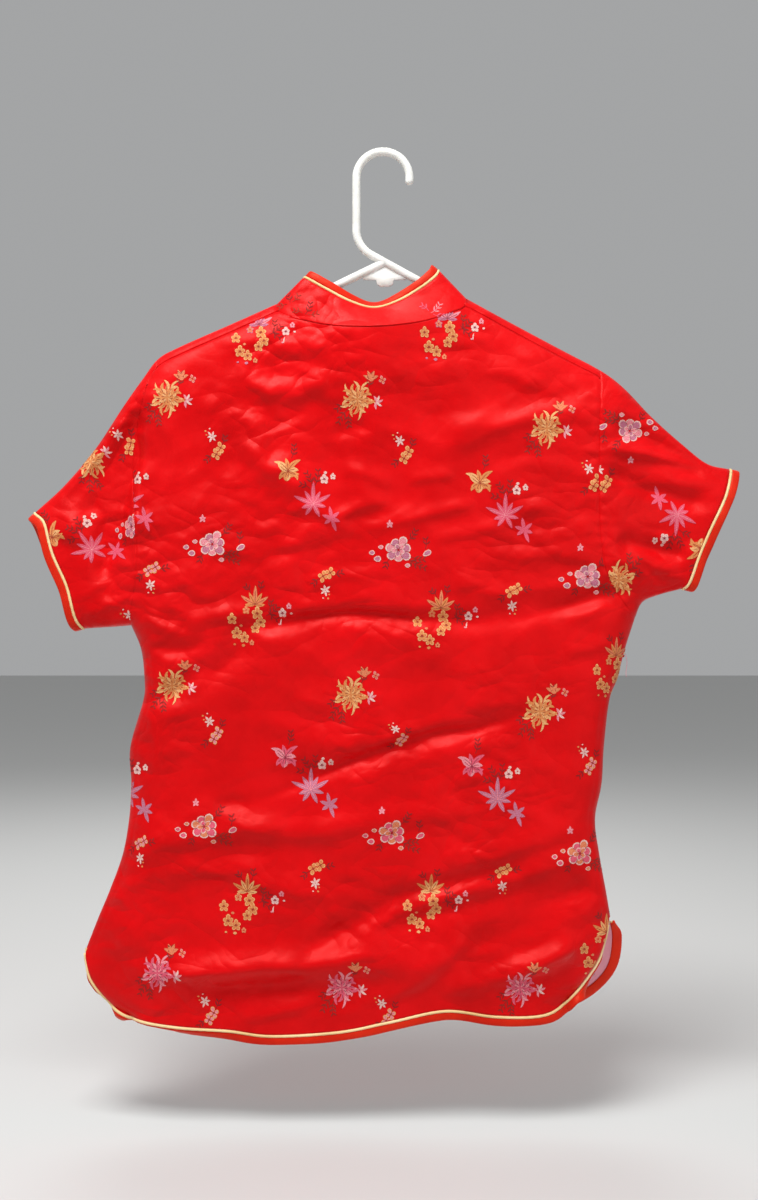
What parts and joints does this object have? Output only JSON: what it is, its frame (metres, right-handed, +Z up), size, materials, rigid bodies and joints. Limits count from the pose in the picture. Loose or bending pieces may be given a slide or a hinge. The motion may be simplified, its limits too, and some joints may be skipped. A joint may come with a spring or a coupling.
{
  "type": "cheongsam top on a hanger",
  "caption": "Short-sleeved cheongsam top of lined brocade with a stand collar, piped edges, a slanting front opening and side slits, hung on a tubular hanger.",
  "frame": {"origin": "inside top of the hanger's hook, where the rail touches it", "axes": "+Z up along the hanging garment, +Y towards the garment's front, +X to the right as seen from the back, which is the wearer's right"},
  "size_m": [0.6477, 0.0522, 0.8117],
  "materials": {
    "brocade": "satin",
    "binding": "satin",
    "piping": "satin",
    "lining": "satin",
    "hanger": "gloss"
  },
  "bodies": {
    "root": {"back_panel": "brocade", "front_panel": "brocade", "front_underlap": "brocade", "front_lining": "lining", "left_sleeve": "brocade", "right_sleeve": "brocade", "collar": "brocade", "collar_piping": "piping", "collar_binding": "binding", "left_cuff_piping": "piping", "left_cuff_binding": "binding", "right_cuff_piping": "piping", "right_cuff_binding": "binding", "back_hem_piping": "piping", "back_hem_binding": "binding", "front_hem_piping": "piping", "front_hem_binding": "binding", "opening_piping": "piping", "opening_binding": "binding", "frog_neck": "binding", "frog_breast": "binding", "frog_side": "binding", "hanger": "hanger"}
  },
  "joints": []
}
